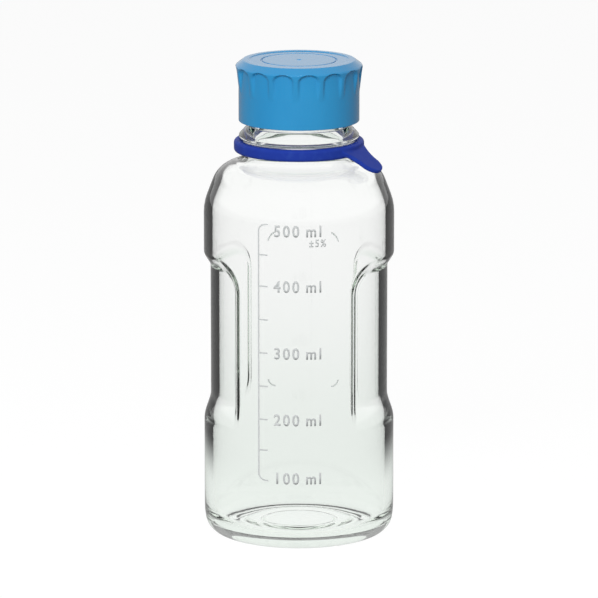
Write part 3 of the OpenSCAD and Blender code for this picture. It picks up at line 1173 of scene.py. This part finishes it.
@dataclass
class Graduation:
    """The volumes printed beside the scale, wrapped onto the glass. Sizes in millimetres."""

    bottle: GlassBottle
    digit_h: float = 4.35
    small_h: float = 2.85
    column: float = -8.3
    unit_column: float = 4.7
    note_column: float = 6.0
    note_drop: float = 7.6
    top_drop: float = 2.75
    low_rise: float = 1.1
    digit_share: float = 0.665
    small_width: float = 0.8
    spacing: float = 1.3
    weight: float = 0.035
    lift: float = 0.015
    thickness: float = 0.035
    weld: float = 0.001
    top_volume: int = 500
    middle_volumes: tuple[int, ...] = (400, 300, 200)
    low_volume: int = 100

    def labels(self) -> list[Label]:
        """The texts, from the highest down."""
        top_z = self.bottle.level(self.top_volume)
        middles = {str(self.top_volume): top_z - self.top_drop}
        middles |= {str(volume): self.bottle.level(volume) for volume in self.middle_volumes}
        middles[str(self.low_volume)] = self.bottle.level(self.low_volume) + self.low_rise
        volumes = [Label(text, self.column, z, self.digit_h) for text, z in middles.items()]
        units = [Label("ml", self.unit_column, z, self.digit_h) for z in middles.values()]
        note = Label("\u00b15%", self.note_column, top_z - self.note_drop, self.small_h, self.small_width)
        return volumes + units + [note]

    def radius(self, z: float) -> float:
        """Radius of the glass at a height, on the straight side and the start of the shoulder."""
        over = max(z - self.bottle.body_h, 0.0)
        start_r = self.bottle.shoulder_start_r
        return self.bottle.body_r - start_r + math.sqrt(start_r**2 - over**2)

    def write(self, bm: bmesh.types.BMesh, label: Label) -> None:
        """Adds a text to a mesh, wrapped onto the glass.

        Args:
            bm: The mesh that takes it.
            label: The text.
        """
        size = label.height / self.digit_share
        curve = bpy.data.curves.new("label", "FONT")
        curve.body, curve.size, curve.space_character = label.text, size, self.spacing
        curve.resolution_u = 6
        curve.offset = self.weight * label.height
        curve.extrude = self.thickness / 2
        holder = bpy.data.objects.new("label", curve)
        mesh = bpy.data.meshes.new_from_object(holder)
        known = set(bm.verts)
        bm.from_mesh(mesh)
        verts = [vert for vert in bm.verts if vert not in known]
        for vert in verts:
            across = label.left + vert.co.x * label.width
            z = label.middle_z - label.height / 2 + vert.co.y
            radius = self.radius(z) + self.lift + self.thickness / 2 + vert.co.z
            angle = across / self.bottle.body_r
            vert.co = (radius * math.sin(angle) * MM, -radius * math.cos(angle) * MM, z * MM)
        bpy.data.objects.remove(holder)
        bpy.data.curves.remove(curve)
        bpy.data.meshes.remove(mesh)

    def build(self, material: bpy.types.Material) -> bpy.types.Object:
        """Makes the texts as one piece.

        Args:
            material: Their finish.

        Returns:
            The piece.
        """
        bm = bmesh.new()
        for label in self.labels():
            self.write(bm, label)
        bmesh.ops.remove_doubles(bm, verts=bm.verts, dist=self.weld * MM)
        bmesh.ops.recalc_face_normals(bm, faces=bm.faces)
        return into_object("scale_volumes", bm, material)


# ----------------------------------------------------------------------------------------------------
# The studio
# ----------------------------------------------------------------------------------------------------


@dataclass
class Studio:
    """A pale floor, soft light and the camera. None of it is part of the bottle."""

    target: Vector
    azimuth: float = math.radians(3.0)
    elevation: float = math.radians(12.3)
    distance: float = 2.2
    lens: float = 322.4
    # Painted shade: this level and the four reaches below set where the world and floor are painted dark for
    # trapped rays only, as dark reflections in the glass
    inner_dark: float = 0.015
    clear_reach: float = 0.10
    dark_reach: float = 0.19
    dark_sky: float = 0.06
    clear_sky: float = 0.2
    floor_gloss: float = 0.34
    soft_sky: float = 0.34
    soft_floor: float = 0.25
    floor_glow: float = 0.89
    floor_lit: Colour = (0.16, 0.16, 0.16)
    # Painted shade: within this reach, rays through the glass see the floor in the darker, greener colour
    # below
    floor_reach: tuple[float, float] = (0.6, 0.05)
    near_floor: Colour = (0.84, 0.89, 0.85)
    lamp_place: Vector = field(default_factory=lambda: Vector((-0.25, -1.65, 1.15)))
    lamp_side: float = 1.0
    lamp_watts: float = 32

    def trapped(self, graph: Graph) -> Value:
        """1 for a ray that one wall of glass turned back inside itself and let out again, else 0.

        Such a ray leaves sideways. The world and the floor are painted dark for such rays only, which paints
        dark reflections of shade into the glass.

        Args:
            graph: The graph that asks.

        Returns:
            The mask.
        """
        path = graph.node("ShaderNodeLightPath")
        turned_back = Value(graph, path.outputs["Glossy Depth"]) > 0.5
        refracted = Value(graph, path.outputs["Transmission Depth"])
        return turned_back * (refracted > 0.5) * (1 - (refracted > 2.5))

    def kinds(self, graph: Graph) -> list[Value]:
        """Masks of the camera's own rays, of those a surface reflects and of those glass lets through.

        Args:
            graph: The graph that asks.

        Returns:
            The three masks.
        """
        path = graph.node("ShaderNodeLightPath")
        seen, mirrored, through = (
            Value(graph, path.outputs[f"Is {kind} Ray"]) for kind in ("Camera", "Glossy", "Transmission")
        )
        return [seen, mirrored * (1 - through), through]

    def direct(self, kinds: list[Value]) -> Value:
        """1 for the rays of three kinds, from which a bounced ray is told apart, else 0."""
        seen, mirrored, through = kinds
        return (seen + mirrored + through).at_most(1.0)

    def world(self) -> None:
        """Makes the white surroundings, painted dark round the horizon for trapped rays as painted shade in
        the glass.
        """
        world = bpy.data.worlds.new("studio")
        bpy.context.scene.world = world
        graph = Graph(world)
        direct = self.direct(self.kinds(graph))
        ray = graph.node("ShaderNodeTexCoord").outputs["Generated"]
        height = graph.value("ShaderNodeSeparateXYZ", "Z", Vector=ray)
        # Painted shade: for trapped rays the sky round the horizon is darkened, painting dark reflections
        # into the glass
        dark = self.trapped(graph) * height.between(self.clear_sky, self.dark_sky)
        strength = self.soft_sky + direct * (1 - self.soft_sky)
        strength = strength * (1 - dark * (1 - self.inner_dark))
        shade = graph.node("ShaderNodeBackground", None, {"Color": WHITE, "Strength": strength})
        graph.close("ShaderNodeOutputWorld", shade.outputs[0])

    def floor(self) -> bpy.types.Object:
        """Makes the floor, white to the camera; painted dark to trapped rays beyond the bottle's surroundings
        and painted darker and greener to rays through the glass near the bottle, both painted shade in the
        glass.

        Returns:
            The floor, which is staged.
        """
        material = bpy.data.materials.new("floor")
        graph = Graph(material)
        seen, mirrored, through = self.kinds(graph)
        place = graph.node("ShaderNodeTexCoord").outputs["Object"]
        length = graph.node("ShaderNodeVectorMath", {"operation": "LENGTH"}, {0: place})
        away = Value(graph, length.outputs["Value"])
        # Painted shade: for trapped rays the floor beyond the bottle's surroundings is darkened, painting
        # dark reflections into the glass
        dark = self.trapped(graph) * away.between(self.clear_reach, self.dark_reach)
        bounced = (1 - self.direct([seen, mirrored, through])) * self.soft_floor
        shown = seen + through + mirrored * self.floor_gloss
        strength = shown * (1 - dark * (1 - self.inner_dark)) + bounced
        # Painted shade: rays through the glass see the floor darker and greener near the bottle
        colour = graph.blend(through * away.between(*self.floor_reach), WHITE, self.near_floor)
        sent = {"Color": colour, "Strength": self.floor_glow * strength}
        glow = graph.node("ShaderNodeEmission", None, sent)
        lit_colour = graph.blend(dark, self.floor_lit, BLACK)
        lit = graph.node("ShaderNodeBsdfDiffuse", None, {"Color": lit_colour})
        both = graph.node("ShaderNodeAddShader", None, {0: glow.outputs[0], 1: lit.outputs[0]})
        graph.close("ShaderNodeOutputMaterial", both.outputs[0])
        bm = bmesh.new()
        bmesh.ops.create_grid(bm, x_segments=1, y_segments=1, size=20)
        floor = into_object("floor", bm, material)
        return floor

    def lamp(self) -> None:
        """Adds the soft lamp, which looks at the bottle."""
        data = bpy.data.lights.new("key", "AREA")
        data.size, data.energy = self.lamp_side, self.lamp_watts
        lamp = bpy.data.objects.new("key", data)
        lamp.location = self.lamp_place
        lamp.rotation_euler = (self.target - self.lamp_place).to_track_quat("-Z", "Y").to_euler()
        lamp.visible_glossy = lamp.visible_transmission = False
        bpy.context.scene.collection.objects.link(lamp)

    def camera(self) -> None:
        """Makes the camera, looking at the bottle from the front and a little above."""
        data = bpy.data.cameras.new("camera")
        data.lens, data.sensor_width, data.clip_end = self.lens, 36, 50
        camera = bpy.data.objects.new("camera", data)
        level = math.cos(self.elevation)
        across, forward = math.sin(self.azimuth) * level, -math.cos(self.azimuth) * level
        back = Vector((across, forward, math.sin(self.elevation)))
        camera.location = self.target + back * self.distance
        camera.rotation_euler = (-back).to_track_quat("-Z", "Y").to_euler()
        bpy.context.scene.collection.objects.link(camera)
        bpy.context.scene.camera = camera

    def build(self) -> None:
        """Makes the studio."""
        scene = bpy.context.scene
        scene.view_settings.view_transform = "Standard"
        scene.cycles.max_bounces = 24
        scene.cycles.glossy_bounces = 12
        scene.cycles.transmission_bounces = 24
        self.world()
        self.floor()
        self.lamp()
        self.camera()


# ----------------------------------------------------------------------------------------------------
# The whole bottle
# ----------------------------------------------------------------------------------------------------


def dress(piece: bpy.types.Object, body: str, node: str | None) -> None:
    """Places a piece in the frame and reports it.

    Args:
        piece: The finished piece.
        body: The body it rides on.
        node: The node it stands for, if it stands for one.
    """
    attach(piece, body)
    if node:
        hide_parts(node)
    LOG.info("%s: %d faces on %s", piece.name, len(piece.data.polygons), body)


def node_box(node: str) -> tuple[Vector, Vector]:
    """The lowest and highest corner of a node, in millimetres."""
    low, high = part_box(node)
    return low / MM, high / MM


def main(frame: dict[str, Any]) -> None:
    """Builds every piece and the studio.

    Args:
        frame: What the frame holds.
    """
    logging.basicConfig(level=logging.INFO, format="%(message)s")
    glass_low, glass_high = node_box("bottle")
    cap_low, cap_high = node_box("screw_cap")
    ring_low, ring_high = node_box("pouring_ring")
    seal_low, seal_high = node_box("cap_seal")

    glass = ClearGlass().material("clear_glass")
    cap_blue = MouldedPlastic(linear(32, 139, 196), linear(40, 146, 201)).material("cap_plastic")
    ring_blue = MouldedPlastic(linear(70, 160, 205), linear(80, 168, 210), 0.3).material("ring_plastic")
    white_silicone = Silicone(linear(225, 226, 222), linear(232, 232, 230)).material("seal_silicone")
    tag_blue = Silicone(linear(34, 58, 154), linear(42, 68, 160)).material("tag_silicone")

    bottle = GlassBottle(body_r=glass_high.y, mouth_z=glass_high.z)
    dress(bottle.build(glass), "bottle", "bottle")
    cap = ScrewCap(base_z=cap_low.z, top_z=cap_high.z, rim_r=cap_high.x)
    dress(cap.build(cap_blue), "cap", "screw_cap")
    ring = PouringRing(top_z=ring_high.z, low_z=ring_low.z, out_r=ring_high.x, mouth_z=bottle.mouth_z)
    dress(ring.build(ring_blue), "bottle", "pouring_ring")
    seal = CapSeal(low_z=seal_low.z, top_z=seal_high.z, radius=seal_high.x)
    dress(seal.build(white_silicone), "seal", "cap_seal")
    tag = NeckTag(low_z=bottle.collar_z - TAG_DROP - NeckTag.ring_h)
    dress(tag.build(tag_blue), "tag", "neck_tag")
    enamel = Enamel().material("enamel")
    dress(Graduation(bottle).build(enamel), "bottle", None)
    for name in ("graduation_scale", "writing_field"):
        frame["nodes"][name].data.materials.clear()
        frame["nodes"][name].data.materials.append(enamel)

    Studio(target=Vector((0, 0, LOOK_AT_Z))).build()


if __name__ == "__main__":
    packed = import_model()
    main(packed)
